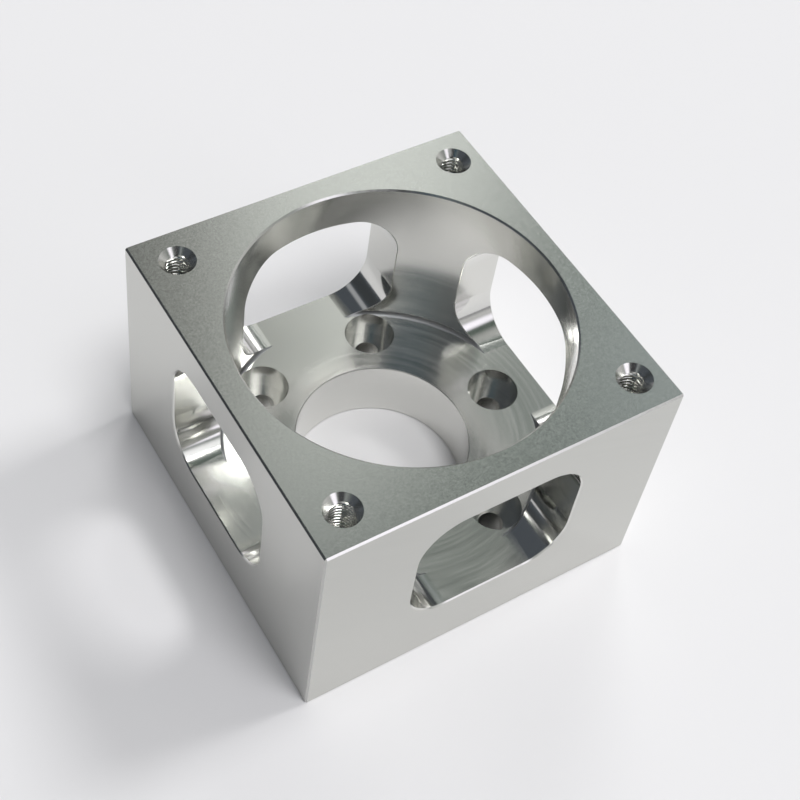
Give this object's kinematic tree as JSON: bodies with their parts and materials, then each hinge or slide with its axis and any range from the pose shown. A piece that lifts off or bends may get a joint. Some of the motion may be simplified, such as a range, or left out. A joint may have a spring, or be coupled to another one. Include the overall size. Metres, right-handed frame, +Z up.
{
  "type": "machined motor housing block",
  "caption": "Square machined aluminium housing block with a large round cavity, a bored floor with counterbored screw holes, side windows and tapped top corners.",
  "frame": {"origin": "middle of the underside of the block, on the surface that it stands on; the common axis of the cavity, centre bore and hole patterns is 0.7 mm along +X from it", "axes": "+Z up along the bores, towards the open mouth of the cavity; +X towards the side that one counterbored hole faces; +Y completes the right-handed frame"},
  "size_m": [0.085, 0.086, 0.059],
  "materials": {
    "machined_aluminium": "satin milled, bare"
  },
  "bodies": {
    "root": {"housing": "machined_aluminium"}
  },
  "joints": []
}
